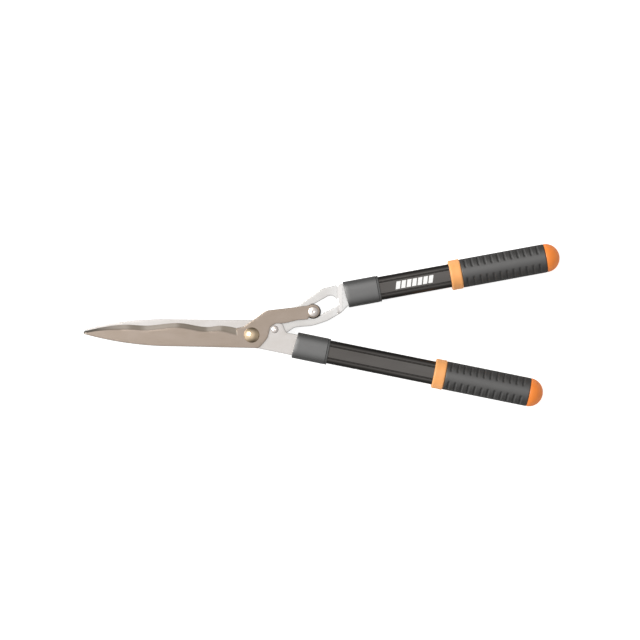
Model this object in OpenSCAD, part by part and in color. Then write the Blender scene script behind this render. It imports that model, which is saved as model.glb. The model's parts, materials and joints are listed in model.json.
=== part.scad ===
// Compound-action hedge shears, lying flat on their back with the blades closed.
// The lower handle is one piece with the rear blade. The upper handle is a separate lever
// on its own rivet, and its slot drives a pin on the arm of the front blade.
// Origin: on the blade pivot's axis, at the bolt's end face, flush with the pivot nut.
// +Z points out of the front, towards the bolt's domed head. The blade tips point to -X.

/* [Blades] */
// Distance from the pivot to the blade tips
blade_reach = 205; // [190:1:220]
// Thickness of both blade plates
plate_t = 3.2; // [2.8:0.1:3.6]
// Gap between the two blade plates
blade_gap = 0.5; // [0.4:0.1:0.8]
// Thickness that the ground bevel leaves at the line of the wave crests
edge_land = 0.7; // [0.4:0.1:1.2]

/* [Pivot] */
// Diameter of the pivot bolt's domed head
bolt_head_d = 18.6; // [17:0.2:20]
// Height of the pivot bolt's domed head
bolt_head_h = 5; // [4:0.2:6]
// Diameter of the pivot bolt's shank
bolt_d = 8; // [7:0.5:9]
// Width of the pivot nut across its flats
nut_af = 13; // [12:0.5:14]
// Thickness of the pivot nut
nut_h = 6.5; // [5:0.5:8]
// Thickness of the washer under the pivot nut
washer_t = 1.6; // [1.2:0.1:2]

/* [Lever] */
// Thickness of the lever plate
lever_t = 4; // [3.5:0.1:4]
// Width of the drive slot in the lever
slot_w = 15.6; // [15.4:0.1:16]
// Distance from the drive pin at rest to the centre of the slot's far end
slot_l = 24.5; // [18:0.5:25]
// Angle of the slot above +X
slot_angle = 29; // [28:0.5:30]
// Diameter of the bush that the drive pin carries in the slot
drive_bush_d = 10; // [8:0.5:10]
// Diameter of the fulcrum rivet's and the drive pin's shanks
rivet_d = 6; // [5:0.5:6.5]

/* [Handles] */
// Angle of the upper handle above +X
upper_angle = 10.4; // [9:0.1:12]
// Angle of the lower handle below +X
lower_angle = 11.4; // [10:0.1:13]
// Length of the upper tube between its ferrule and its collar
upper_tube_l = 87; // [70:1:120]
// Length of the lower tube between its ferrule and its collar
lower_tube_l = 130.5; // [110:0.5:160]
// Width of the tubes, in the plane of the blades
tube_w = 28.5; // [27:0.5:29]
// Depth of the tubes, front to back
tube_d = 23; // [22:0.5:24]
// Wall thickness of the tubes
tube_wall = 1.6; // [1.2:0.1:2]
// Length of the ferrules
ferrule_l = 42; // [38:1:46]
// Length of the collars
collar_l = 14; // [10:1:16]
// Diameter of the collars
collar_d = 37; // [36:0.5:40]
// Length of the soft grips
grip_l = 104; // [90:1:120]
// Diameter of the soft grips
grip_d = 35; // [33:0.5:36]

/* [Fits] */
// Radial clearance where a bush runs on its pin
running = 0.05; // [0.02:0.01:0.08]
// Clearance between faces that slide past each other
face_gap = 0.1; // [0.1:0.05:0.2]

/* [Hidden] */
$fn = 64;

// Heights of the layers, from the back: lever, rear blade, front blade
rear_z = nut_h + washer_t;
rear_top = rear_z + plate_t;
front_z = rear_top + blade_gap;
front_top = front_z + plate_t;
lever_gap = 0.3;
lever_top = rear_z - lever_gap;
lever_z = lever_top - lever_t;
handle_z = rear_z + plate_t / 2;

// Centres of the lever's fulcrum and of the drive pin, seen from the blade pivot
fulcrum = [28, 6.8];
drive = [74.8, 28.4];

// Round ends of the plates: the rear blade and the lever at the fulcrum, the arm at its pin
rear_lobe_r = 11.3;
lever_root_r = 11;
arm_end = [74.6, 29.2];
arm_end_r = 8.2;

// Rivets: head, clenched end and washers. The front blade has a notch for the fulcrum's head.
fulcrum_head_d = 9;
fulcrum_head_h = 1.6;
fulcrum_notch = 0.6;
fulcrum_bush_d = 10;
fulcrum_washer_d = 15;
drive_head_d = 12;
drive_head_h = 2.2;
drive_flange_d = 12.4;
drive_washer_d = 18.6;
rivet_washer_t = 1.2;
clench_d = 9.5;
clench_h = 1.6;
clench_z = lever_z - face_gap - rivet_washer_t - clench_h;
bolt_bush_d = 12;
spacer_d = 28;
nut_washer_d = 17;
nut_collar_h = 1.4;

// Both blades: wave crests and troughs of the cutting edge as [share of the reach, height]
edge_tip = [-blade_reach, 4.3];
edge_heel = [-18.4, 8.4];
edge_waves = [[0.742, 12.6], [0.632, 11.5], [0.445, 14.6], [0.261, 9.8], [0.187, 11.3]];
wave_steps = 8;
// Spine: level from the hub to spine_break, then a parabola up to the tip
spine_hub = [0, -15.7];
spine_break = [-0.463 * blade_reach, -13.6];
spine_tip = [-blade_reach + 0.8, 1.2];
spine_steps = 8;
// Inner boundary of the ground bevel, from the heel to a little beyond the tip
bevel_line = [[-18.4, -0.6], [-93, 6.1], [-blade_reach - 10, 1.9]];
bevel_w = 9;
bevel_angle = atan((plate_t - edge_land) / bevel_w);
// The closed blades mirror each other about a line through mirror_at, leaning by mirror_lean
mirror_at = [0, 1.3];
mirror_lean = -0.9;

// Handles, each in its own frame: u along the axis from the ferrule's front end,
// v across it with the outer side of the shears positive, w to the front
upper_at = [114.3, 49, handle_z];
lower_at = [52.2, -12.1, handle_z];
ferrule_wall = 1.8;
ferrule_front = 6;
ferrule_slant = 4.5;
ferrule_overrun = 1.3;
lower_neck_w = 26;
upper_neck_w = 28;
stem_w = 18;
stem_l = 46;
core_l = 44;
tang_pin_d = 5;
tang_pin_u = 26;
cap_d = 34.8;
cap_plug_l = 14;
groove_r = 0.7;
groove_v = 7.6;
corner_r = 7;
upper_collar_u = ferrule_l + upper_tube_l;
lower_collar_u = ferrule_l + lower_tube_l;
upper_grip_u = upper_collar_u + collar_l;
lower_grip_u = lower_collar_u + collar_l;
upper_cap_u = upper_grip_u + grip_l;
lower_cap_u = lower_grip_u + grip_l;

// Where the lever jogs forward, and the length and breadth of the block that it is cut from
jog_x = 106;
lever_end_x = 200;
lever_side = 120;
// Longer than any hole through the plates or the tubes is deep
through = 40;
arc_step = 6;

// ---- Outline helpers: an outline is a list of [x, y, corner radius] ----

function xy(p) = [p.x, p.y];
function unit(v) = v / norm(v);
function turned(v, a) = [v.x * cos(a) - v.y * sin(a), v.x * sin(a) + v.y * cos(a)];

// The arc that rounds the corner at b, on the way from a to c
function corner_arc(a, b, c, r) =
  let (
    back = unit(a - b),
    ahead = unit(c - b),
    half = acos(back * ahead) / 2,
    centre = b + unit(back + ahead) * r / sin(half),
    first = b + back * r / tan(half) - centre,
    sweep = (180 - 2 * half) * sign(cross(b - a, c - b)),
    n = max(1, ceil(abs(sweep) / arc_step))
  )
  [for (i = [0:n]) centre + turned(first, sweep * i / n)];

function rounded(p) =
  let (n = len(p))
  [for (i = [0:n - 1])
    each p[i][2] > 0
      ? corner_arc(xy(p[(i + n - 1) % n]), xy(p[i]), xy(p[(i + 1) % n]), p[i][2])
      : [xy(p[i])]];

function oval(w, d, r) =
  rounded([[w / 2, -d / 2, r], [w / 2, d / 2, r], [-w / 2, d / 2, r], [-w / 2, -d / 2, r]]);

// ---- Blade outline, shared by both blades ----

// Points from a to b along half a wave, and from a valley a up to a crest b along a quarter
function half_wave(a, b) =
  [for (i = [1:wave_steps])
    let (t = i / wave_steps)
    [a.x + (b.x - a.x) * t, a.y + (b.y - a.y) * (1 - cos(180 * t)) / 2, 0]];
function quarter_wave(a, b) =
  [for (i = [1:wave_steps])
    let (t = i / wave_steps)
    [a.x + (b.x - a.x) * t, a.y + (b.y - a.y) * sin(90 * t), 0]];

// From the spine at the hub, round the tip, along the wavy edge to the heel
function blade_outline() =
  let (waves = [for (e = edge_waves) [-e[0] * blade_reach, e[1]]], last = len(waves) - 1)
  concat(
    [[spine_hub.x, spine_hub.y, 0], [spine_break.x, spine_break.y, 0]],
    [for (i = [1:spine_steps])
      let (t = i / spine_steps)
      [spine_break.x + (spine_tip.x - spine_break.x) * t,
       spine_break.y + (spine_tip.y - spine_break.y) * t * t,
       i == spine_steps ? 1.2 : 0]],
    [[edge_tip.x, edge_tip.y, 1.2]],
    quarter_wave(edge_tip, waves[0]),
    [for (i = [1:last]) each half_wave(waves[i - 1], waves[i])],
    [for (i = [1:wave_steps])
      let (t = i / wave_steps, heel = edge_heel, crest = waves[last])
      [crest.x + (heel.x - crest.x) * t, heel.y + (crest.y - heel.y) * cos(90 * t), 0]]
  );

// A point of the front blade, mirrored to the rear blade's place
function mirrored(p) =
  let (q = turned(xy(p) - mirror_at, -mirror_lean), m = turned([q.x, -q.y], mirror_lean) + mirror_at)
  [m.x, m.y, p[2]];

module closed_blade_mirror() {
  translate([mirror_at.x, mirror_at.y, 0])
    rotate([0, 0, mirror_lean])
      mirror([0, 1, 0])
        rotate([0, 0, -mirror_lean])
          translate([-mirror_at.x, -mirror_at.y, 0])
            children();
}

// The ground-away wedge above the bevel, over a blade whose outer face is at z. Each stretch
// runs on past its ends, and the heel's upright step ends them all.
module bevel_cut(z) {
  spare = 2 * bevel_w;
  intersection() {
    union() {
      for (i = [1:len(bevel_line) - 1]) {
        from = bevel_line[i];
        along = bevel_line[i - 1] - from;
        translate([from.x, from.y, z])
          rotate([0, 0, atan2(along.y, along.x)])
            rotate([-bevel_angle, 0, 0])
              translate([-spare, 0, 0])
                cube([norm(along) + 2 * spare, 2 * spare, 2 * plate_t]);
      }
    }
    translate([edge_heel.x - 2 * blade_reach, -blade_reach, z - plate_t])
      cube([2 * blade_reach, 2 * blade_reach, 4 * plate_t]);
  }
}

module at(p, z) {
  translate([p.x, p.y, z]) children();
}

module upper_frame() {
  translate(upper_at) rotate([0, 0, upper_angle]) children();
}

module lower_frame() {
  translate(lower_at) rotate([0, 0, -lower_angle]) mirror([0, 1, 0]) children();
}

// ---- Blades and lever ----

module front_blade() {
  outline = concat(blade_outline(), [
    [-9.5, 10.4, 5], [17.6, 29.9, 16], [58.3, 34.6, 40], [72.5, 36.9, 0],
    [69.8, 22.5, 0], [68.3, 19.2, 1.5], [56, 18.2, 20], [40, 14.4, 10], [29, 14, 0],
    [22.4, 9.6, 0], [19.4, -3.6, 14], [8.8, -15.8, 6]
  ]);
  color("rosybrown")
    difference() {
      translate([0, 0, front_z]) linear_extrude(plate_t) polygon(rounded(outline));
      bevel_cut(front_top);
      at(fulcrum, front_z - 1) cylinder(r = fulcrum_head_d / 2 + fulcrum_notch, h = plate_t + 2);
      at([0, 0], front_z - 1) cylinder(d = bolt_bush_d, h = plate_t + 2);
      at(drive, front_z - 1) cylinder(d = rivet_d, h = plate_t + 2);
    }
  color("rosybrown")
    difference() {
      at(arm_end, front_z) cylinder(r = arm_end_r, h = plate_t);
      at(drive, front_z - 1) cylinder(d = rivet_d, h = plate_t + 2);
    }
}

// The tang in its handle's frame: a wide neck that ends in the ferrule, and a stem in the core
function tang_outline(neck_w) =
  let (neck = neck_w / 2, stem = stem_w / 2, shoulder = ferrule_front - 1)
  [
    [0, neck, 0], [shoulder, neck, 0], [shoulder, stem, 0], [stem_l, stem, 0],
    [stem_l, -stem, 0], [shoulder, -stem, 0], [shoulder, -neck, 0], [0, -neck, 0]
  ];

module tang_pin_hole() {
  translate([tang_pin_u, 0, -through / 2]) cylinder(d = tang_pin_d, h = through);
}

function reversed(p) = [for (i = [len(p) - 1:-1:0]) p[i]];

// Outline points given in a handle's frame, as seen from the pivot
function upper_points(p) =
  [for (q = p) let (g = xy(upper_at) + turned([q.x, q.y], upper_angle)) [g.x, g.y, q[2]]];
function lower_points(p) =
  [for (q = p) let (g = xy(lower_at) + turned([q.x, -q.y], -lower_angle)) [g.x, g.y, q[2]]];

module rear_blade() {
  blade = [for (p = blade_outline()) mirrored(p)];
  plate = concat(
    blade,
    [mirrored([-9.5, 10.4, 4]), [0.5, -15.4, 8], [9, -16.4, 20]],
    lower_points(tang_outline(lower_neck_w)),
    [[42, 3, 4], [36.9, 13.9, 0], [27, 16.5, 0], [14, 17.2, 10]]
  );
  color("silver")
    difference() {
      union() {
        translate([0, 0, rear_z]) linear_extrude(plate_t) polygon(rounded(plate));
        at(fulcrum, rear_z) cylinder(r = rear_lobe_r, h = plate_t);
      }
      closed_blade_mirror() mirror([0, 0, 1]) bevel_cut(-rear_z);
      at([0, 0], rear_z - 1) cylinder(d = bolt_d + 2 * running, h = plate_t + 2);
      at(fulcrum, rear_z - 1) cylinder(d = rivet_d, h = plate_t + 2);
      lower_frame() tang_pin_hole();
    }
}

module upper_lever() {
  outline = concat(
    [[34.9, -1.4, 0], [44, 3.8, 5], [52, 9.3, 12], [74, 11.3, 30], [92.5, 17.4, 40], [109, 27.2, 15]],
    upper_points(reversed(tang_outline(upper_neck_w))),
    [[85.6, 56.8, 25], [52, 33.4, 40], [20.3, 14.5, 0]]
  );
  step = handle_z - lever_t / 2 - lever_z;
  bend = lever_t * tan(22.5);
  // Side view: level at the back, then a 45 degree jog forward onto the handle's plane
  profile = [
    [0, lever_z], [jog_x, lever_z], [jog_x + step, lever_z + step], [lever_end_x, lever_z + step],
    [lever_end_x, lever_top + step], [jog_x + step - bend, lever_top + step],
    [jog_x - bend, lever_top], [0, lever_top]
  ];
  color("gainsboro")
    difference() {
      intersection() {
        union() {
          linear_extrude(through) polygon(rounded(outline));
          at(fulcrum, 0) cylinder(r = lever_root_r, h = through);
        }
        translate([0, lever_side, 0]) rotate([90, 0, 0]) linear_extrude(2 * lever_side) polygon(profile);
      }
      at(fulcrum, 0) cylinder(d = fulcrum_bush_d, h = through);
      drive_slot();
      upper_frame() tang_pin_hole();
    }
}

// A straight slot with round ends, wide enough for the slightly curved path of the drive bush
module drive_slot() {
  half = slot_w / 2;
  end_r = half - 0.01;
  at(drive, 0)
    rotate([0, 0, slot_angle])
      linear_extrude(through)
        polygon(rounded([
          [-half, -half, end_r], [slot_l + half, -half, end_r],
          [slot_l + half, half, end_r], [-half, half, end_r]
        ]));
}

// ---- Pivot, fulcrum and drive pin ----

// A low dome of base diameter d and height h, standing on z = 0, with a short straight rim
module domed_head(d, h) {
  rim = h * 0.22;
  dome = h - rim;
  radius = (d * d / 4 + dome * dome) / (2 * dome);
  intersection() {
    cylinder(d = d, h = h + 1);
    translate([0, 0, h - radius]) sphere(r = radius, $fn = 96);
    translate([0, 0, h / 2]) cube([2 * d, 2 * d, h], center = true);
  }
}

module pivot_bolt() {
  color("goldenrod") {
    translate([0, 0, front_top + face_gap]) domed_head(bolt_head_d, bolt_head_h);
    cylinder(d = bolt_d, h = front_top + 2 * face_gap);
  }
}

module tube_ring(outer, inner, h) {
  difference() {
    cylinder(d = outer, h = h);
    translate([0, 0, -1]) cylinder(d = inner, h = h + 2);
  }
}

module blade_spacer() {
  color("gray") translate([0, 0, rear_top]) tube_ring(spacer_d, bolt_d + 2 * running, blade_gap - face_gap);
}

module nut_washer() {
  color("silver") translate([0, 0, nut_h]) tube_ring(nut_washer_d, bolt_d + 2 * running, washer_t);
}

// Lock nut: a hexagon with a round collar on its outer side
module pivot_nut() {
  color("silver")
    difference() {
      union() {
        translate([0, 0, nut_collar_h]) cylinder(d = nut_af / cos(30), h = nut_h - nut_collar_h, $fn = 6);
        cylinder(d = nut_af - 1, h = nut_h);
      }
      translate([0, 0, -1]) cylinder(d = bolt_d, h = nut_h + 2);
    }
}

module blade_bush() {
  color("peru") translate([0, 0, front_z]) tube_ring(bolt_bush_d, bolt_d + 2 * running, plate_t);
}

module fulcrum_rivet() {
  color("lightgray") {
    at(fulcrum, rear_top) domed_head(fulcrum_head_d, fulcrum_head_h);
    at(fulcrum, clench_z) cylinder(d = rivet_d, h = rear_top - clench_z + 0.2);
    at(fulcrum, clench_z) cylinder(d = clench_d, h = clench_h);
  }
}

module fulcrum_washer() {
  color("silver") at(fulcrum, clench_z + clench_h) tube_ring(fulcrum_washer_d, rivet_d, rivet_washer_t);
}

module fulcrum_bush() {
  color("peru") at(fulcrum, lever_z) tube_ring(fulcrum_bush_d, rivet_d + 2 * running, lever_t);
}

module drive_pin() {
  color("lightgray") {
    at(drive, front_top) domed_head(drive_head_d, drive_head_h);
    at(drive, clench_z) cylinder(d = rivet_d, h = front_top - clench_z + 0.2);
    at(drive, clench_z) cylinder(d = clench_d, h = clench_h);
  }
}

// Stepped bush: a wide spacer between arm and lever, and a sleeve through the slot
module drive_bush() {
  sleeve_z = clench_z + clench_h + rivet_washer_t;
  flange_z = lever_top + face_gap;
  color("dimgray")
    difference() {
      union() {
        at(drive, flange_z) cylinder(d = drive_flange_d, h = front_z - flange_z);
        at(drive, sleeve_z) cylinder(d = drive_bush_d, h = front_z - sleeve_z);
      }
      at(drive, 0) cylinder(d = rivet_d, h = through);
    }
}

module drive_washer() {
  color("dimgray") at(drive, clench_z + clench_h) tube_ring(drive_washer_d, rivet_d, rivet_washer_t);
}

// ---- Handle pieces, each in its handle's frame ----

// Extrudes a section given across the handle (v, w) from u0 to u1
module along_handle(u0, u1) {
  translate([u0, 0, 0]) rotate([90, 0, 90]) linear_extrude(u1 - u0) children();
}

module tube_section() {
  difference() {
    polygon(oval(tube_w, tube_d, corner_r));
    polygon(oval(tube_w - 2 * tube_wall, tube_d - 2 * tube_wall, corner_r - tube_wall));
    for (v = [-groove_v, groove_v], w = [-tube_d / 2, tube_d / 2])
      translate([v, w]) circle(r = groove_r, $fn = 24);
  }
}

// Socket over the tube's front end, with a slanted front face. The children are its hole's section.
module ferrule() {
  outer_w = tube_w + 2 * ferrule_wall;
  outer_d = tube_d + 2 * ferrule_wall;
  color("dimgray")
    difference() {
      along_handle(-ferrule_overrun, ferrule_l) polygon(oval(outer_w, outer_d, corner_r + ferrule_wall));
      rotate([0, 0, ferrule_slant])
        translate([-tube_w, -tube_w, -tube_w])
          cube([tube_w, 2 * tube_w, 2 * tube_w]);
      along_handle(ferrule_front, ferrule_l + 1) polygon(oval(tube_w, tube_d, corner_r));
      along_handle(-2 * ferrule_overrun, ferrule_front + 1) children();
    }
}

module tube(length) {
  color("dimgray")
    difference() {
      along_handle(ferrule_front, length) tube_section();
      tang_pin_hole();
    }
}

module core(plate) {
  inner_w = tube_w - 2 * tube_wall;
  inner_d = tube_d - 2 * tube_wall;
  color("ivory")
    difference() {
      along_handle(ferrule_front, ferrule_front + core_l)
        polygon(oval(inner_w, inner_d, corner_r - tube_wall));
      along_handle(0, stem_l) square([stem_w, plate], center = true);
      tang_pin_hole();
    }
}

module tang_pin() {
  color("gray")
    translate([tang_pin_u, 0, -tube_d / 2 + 0.1])
      difference() {
        cylinder(d = tang_pin_d, h = tube_d - 0.2);
        translate([0, 0, -1]) cylinder(d = tang_pin_d - 2, h = tube_d + 2);
      }
}

module collar(u) {
  edge = 1.5;
  profile = rounded([
    [0, 0, 0], [collar_d / 2, 0, edge], [collar_d / 2, collar_l, edge], [0, collar_l, 0]
  ]);
  color("orangered")
    difference() {
      translate([u, 0, 0]) rotate([0, 90, 0]) rotate_extrude() polygon(profile);
      along_handle(u - 1, u + collar_l + 1) polygon(oval(tube_w, tube_d, corner_r));
    }
}

module grip(u) {
  color("darkslategray")
    difference() {
      translate([u, 0, 0]) rotate([0, 90, 0]) cylinder(d = grip_d, h = grip_l);
      along_handle(u - 1, u + grip_l + 1) polygon(oval(tube_w, tube_d, corner_r));
    }
}

// Domed cap with a plug that fits inside the tube
module end_cap(u) {
  plug_w = tube_w - 2 * tube_wall;
  plug_d = tube_d - 2 * tube_wall;
  color("orangered") {
    translate([u, 0, 0])
      intersection() {
        sphere(d = cap_d, $fn = 96);
        translate([0, -cap_d, -cap_d]) cube(2 * cap_d);
      }
    along_handle(u - cap_plug_l, u + 1) polygon(oval(plug_w, plug_d, corner_r - tube_wall));
  }
}

module upper_ferrule() { upper_frame() ferrule() square([upper_neck_w, lever_t], center = true); }
module upper_tube() { upper_frame() tube(upper_cap_u); }
module upper_core() { upper_frame() core(lever_t); }
module upper_tang_pin() { upper_frame() tang_pin(); }
module upper_collar() { upper_frame() collar(upper_collar_u); }
module upper_grip() { upper_frame() grip(upper_grip_u); }
module upper_end_cap() { upper_frame() end_cap(upper_cap_u); }

module lower_ferrule() { lower_frame() ferrule() square([lower_neck_w, plate_t], center = true); }
module lower_tube() { lower_frame() tube(lower_cap_u); }
module lower_core() { lower_frame() core(plate_t); }
module lower_tang_pin() { lower_frame() tang_pin(); }
module lower_collar() { lower_frame() collar(lower_collar_u); }
module lower_grip() { lower_frame() grip(lower_grip_u); }
module lower_end_cap() { lower_frame() end_cap(lower_cap_u); }

rear_blade();
pivot_bolt();
blade_spacer();
nut_washer();
pivot_nut();
fulcrum_rivet();
fulcrum_washer();
lower_ferrule();
lower_tube();
lower_core();
lower_tang_pin();
lower_collar();
lower_grip();
lower_end_cap();
front_blade();
blade_bush();
drive_pin();
drive_bush();
drive_washer();
upper_lever();
fulcrum_bush();
upper_ferrule();
upper_tube();
upper_core();
upper_tang_pin();
upper_collar();
upper_grip();
upper_end_cap();
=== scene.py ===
"""Hedge shears: the detailed pieces, materials, floor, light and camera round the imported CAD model."""

import json
import math

import bpy
import numpy as np
from mathutils import Matrix, Vector
from mathutils.geometry import delaunay_2d_cdt


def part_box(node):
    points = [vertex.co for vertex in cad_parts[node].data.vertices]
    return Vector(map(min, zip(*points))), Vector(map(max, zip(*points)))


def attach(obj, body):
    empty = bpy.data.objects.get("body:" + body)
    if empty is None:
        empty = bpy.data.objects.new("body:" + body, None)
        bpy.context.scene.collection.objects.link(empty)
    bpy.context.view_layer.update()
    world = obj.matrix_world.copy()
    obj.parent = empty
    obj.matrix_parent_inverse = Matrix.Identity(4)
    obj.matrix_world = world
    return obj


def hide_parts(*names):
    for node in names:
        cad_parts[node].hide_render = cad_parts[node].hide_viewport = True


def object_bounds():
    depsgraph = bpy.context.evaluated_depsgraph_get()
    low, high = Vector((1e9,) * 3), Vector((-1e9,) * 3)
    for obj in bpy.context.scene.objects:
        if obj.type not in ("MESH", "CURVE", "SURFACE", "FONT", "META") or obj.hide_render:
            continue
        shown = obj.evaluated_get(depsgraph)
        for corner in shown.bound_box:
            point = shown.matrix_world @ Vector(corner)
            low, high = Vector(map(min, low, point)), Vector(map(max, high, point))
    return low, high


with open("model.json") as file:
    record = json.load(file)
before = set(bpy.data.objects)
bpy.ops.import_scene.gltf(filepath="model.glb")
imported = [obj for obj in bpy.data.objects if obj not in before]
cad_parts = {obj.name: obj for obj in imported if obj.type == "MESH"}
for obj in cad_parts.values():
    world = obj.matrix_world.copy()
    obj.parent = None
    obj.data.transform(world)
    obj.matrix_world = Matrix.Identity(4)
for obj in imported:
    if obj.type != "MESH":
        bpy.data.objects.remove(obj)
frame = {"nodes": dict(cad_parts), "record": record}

MM = 0.001
NODES = frame["nodes"]
RECORD = frame["record"]
MOUNTS = {mount["name"]: mount for mount in RECORD["mounts"]}
BODY_OF = {node: body for body, members in RECORD["behaviour"]["bodies"].items() for node in members}
SLOT_OF = {part["node"]: part["material_slot"] for part in RECORD["subparts"]}
CAD_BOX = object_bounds()


# ---------------------------------------------------------------------------
# Camera, light and floor
# ---------------------------------------------------------------------------

CAMERA_DISTANCE = 3.0
VIEW_PER_LENGTH = 1.345
AIM_SHIFT_PER_LENGTH = Vector((-0.0034, 0.0108, 0))
SENSOR = 36.0


def add_camera():
    """Straight above the shears, which lie flat with the blades to the left."""
    low, high = CAD_BOX
    length = high.x - low.x
    data = bpy.data.cameras.new("camera")
    data.sensor_width = SENSOR
    data.lens = SENSOR * CAMERA_DISTANCE / (length * VIEW_PER_LENGTH)
    camera = bpy.data.objects.new("camera", data)
    aim = (low + high) / 2 + AIM_SHIFT_PER_LENGTH * length
    camera.location = aim + Vector((0, 0, CAMERA_DISTANCE))
    bpy.context.scene.collection.objects.link(camera)
    bpy.context.scene.camera = camera


def add_softbox(name, place, aim, size, power, colour):
    """A rectangular area light at place that faces aim."""
    data = bpy.data.lights.new(name, "AREA")
    data.shape = "RECTANGLE"
    data.size, data.size_y = size
    data.energy = power
    data.color = colour
    light = bpy.data.objects.new(name, data)
    light.location = place
    light.rotation_euler = (Vector(aim) - Vector(place)).to_track_quat("-Z", "Y").to_euler()
    bpy.context.scene.collection.objects.link(light)


TENT_AXIS = Vector((-1.0, 0.1, 0.6)).normalized()
TENT_SHADES = [(0.05, 0.20), (0.4, 0.27), (0.7, 0.56), (0.82, 0.63), (0.9, 0.70), (1.0, 0.72)]
TENT_STRENGTH = 1.4
FLAG_DEPTH = 0.85


def add_sky():
    """A studio tent, brightest low on the left, dim on the right, with dark flags along both long sides."""
    world = bpy.data.worlds.new("studio")
    world.use_nodes = True
    bpy.context.scene.world = world
    nodes, links = world.node_tree.nodes, world.node_tree.links
    where = nodes.new("ShaderNodeTexCoord")
    along = nodes.new("ShaderNodeVectorMath")
    along.operation = "DOT_PRODUCT"
    along.inputs[1].default_value = TENT_AXIS
    share = nodes.new("ShaderNodeMapRange")
    share.inputs["From Min"].default_value = -1
    fade = nodes.new("ShaderNodeValToRGB")
    stops = fade.color_ramp.elements
    while len(stops) < len(TENT_SHADES):
        stops.new(0.5)
    for stop, (position, grey) in zip(stops, TENT_SHADES):
        stop.position = position
        stop.color = (grey, grey, grey, 1)
    split = nodes.new("ShaderNodeSeparateXYZ")
    square = nodes.new("ShaderNodeMath")
    square.operation = "POWER"
    square.inputs[1].default_value = 2
    flags = nodes.new("ShaderNodeMapRange")
    flags.inputs["To Min"].default_value = TENT_STRENGTH
    flags.inputs["To Max"].default_value = TENT_STRENGTH * (1 - FLAG_DEPTH)
    links.new(where.outputs["Generated"], along.inputs[0])
    links.new(along.outputs["Value"], share.inputs["Value"])
    links.new(share.outputs["Result"], fade.inputs["Fac"])
    links.new(fade.outputs["Color"], nodes["Background"].inputs["Color"])
    links.new(where.outputs["Generated"], split.inputs[0])
    links.new(split.outputs["Y"], square.inputs[0])
    links.new(square.outputs["Value"], flags.inputs["Value"])
    links.new(flags.outputs["Result"], nodes["Background"].inputs["Strength"])


FLOOR_HALF = 6.0


def add_floor(finish):
    """A wide pale floor under the lowest point. It doesn't mirror in the shears."""
    low = CAD_BOX[0].z
    quarter_turns = ((-1, -1), (1, -1), (1, 1), (-1, 1))
    corners = [(FLOOR_HALF * x, FLOOR_HALF * y, low) for x, y in quarter_turns]
    mesh = bpy.data.meshes.new("floor")
    mesh.from_pydata(corners, [], [(0, 1, 2, 3)])
    mesh.materials.append(finish)
    floor = bpy.data.objects.new("floor", mesh)
    floor.visible_glossy = False
    bpy.context.scene.collection.objects.link(floor)


# ---------------------------------------------------------------------------
# Materials
# ---------------------------------------------------------------------------


class Finish:
    """A Principled material, with short calls for the procedural nodes that these finishes use."""

    def __init__(self, name, colour, **numbers):
        self.material = bpy.data.materials.new(name)
        self.material.use_nodes = True
        self.tree = self.material.node_tree
        self.shader = self.tree.nodes["Principled BSDF"]
        self.colour = self.constant(colour)
        self.normal = None
        for socket, value in numbers.items():
            self.shader.inputs[socket.replace("_", " ")].default_value = value
        self.place = self.tree.nodes.new("ShaderNodeTexCoord").outputs["Object"]

    def node(self, kind, **inputs):
        """A new node with its inputs linked or set. Underscores stand for the spaces in their names."""
        made = self.tree.nodes.new("ShaderNode" + kind)
        for socket, value in inputs.items():
            self.feed(made.inputs[socket.replace("_", " ")], value)
        return made

    def feed(self, socket, value):
        if isinstance(value, bpy.types.NodeSocket):
            self.tree.links.new(value, socket)
        else:
            socket.default_value = value

    def constant(self, colour):
        return (*colour, 1)

    def noise(self, scale, stretch=(1, 1, 1), detail=3.0):
        """Noise from 0 to 1. Scale counts features per metre; stretch multiplies it along each axis."""
        spread = self.node("Mapping", Vector=self.place, Scale=stretch)
        made = self.node("TexNoise", Vector=spread.outputs["Vector"], Scale=scale, Detail=detail)
        return made.outputs["Fac"]

    def attribute(self, name, output="Fac"):
        made = self.tree.nodes.new("ShaderNodeAttribute")
        made.attribute_name = name
        return made.outputs[output]

    def remap(self, value, low, high, start=0.0, end=1.0):
        """Value's stretch from start to end, spread over low to high."""
        made = self.node("MapRange", Value=value, From_Min=start, From_Max=end, To_Min=low, To_Max=high)
        return made.outputs["Result"]

    def combine(self, operation, a, b=0.0):
        """A Math node's result for one or two values."""
        made = self.tree.nodes.new("ShaderNodeMath")
        made.operation = operation
        self.feed(made.inputs[0], a)
        self.feed(made.inputs[1], b)
        return made.outputs["Value"]

    def blend(self, amount, other, mode="MIX"):
        """Blends another colour into the finish's colour, by an amount from 0 to 1."""
        made = self.tree.nodes.new("ShaderNodeMix")
        made.data_type = "RGBA"
        made.blend_type = mode
        self.feed(made.inputs[0], amount)
        self.feed(made.inputs[6], self.colour)
        self.feed(made.inputs[7], self.constant(other))
        self.colour = made.outputs[2]

    def mottle(self, scale, darker, **look):
        """Cloudy patches that multiply the colour by `darker` where they are strongest."""
        amount = self.remap(self.noise(scale, **look), 0, 1, 0.35, 0.65)
        self.blend(amount, darker, "MULTIPLY")

    def bump(self, height, depth, strength):
        """Adds bumps on top of the ones that are there. Depth is in metres."""
        made = self.node("Bump", Strength=strength, Distance=depth, Height=height)
        if self.normal is not None:
            self.feed(made.inputs["Normal"], self.normal)
        self.normal = made.outputs["Normal"]

    def roughen(self, value, low, high):
        """Makes the roughness run from low to high as value goes from 0 to 1."""
        self.feed(self.shader.inputs["Roughness"], self.remap(value, low, high))

    def done(self):
        self.feed(self.shader.inputs["Base Color"], self.colour)
        if self.normal is not None:
            self.feed(self.shader.inputs["Normal"], self.normal)
        return self.material


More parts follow.
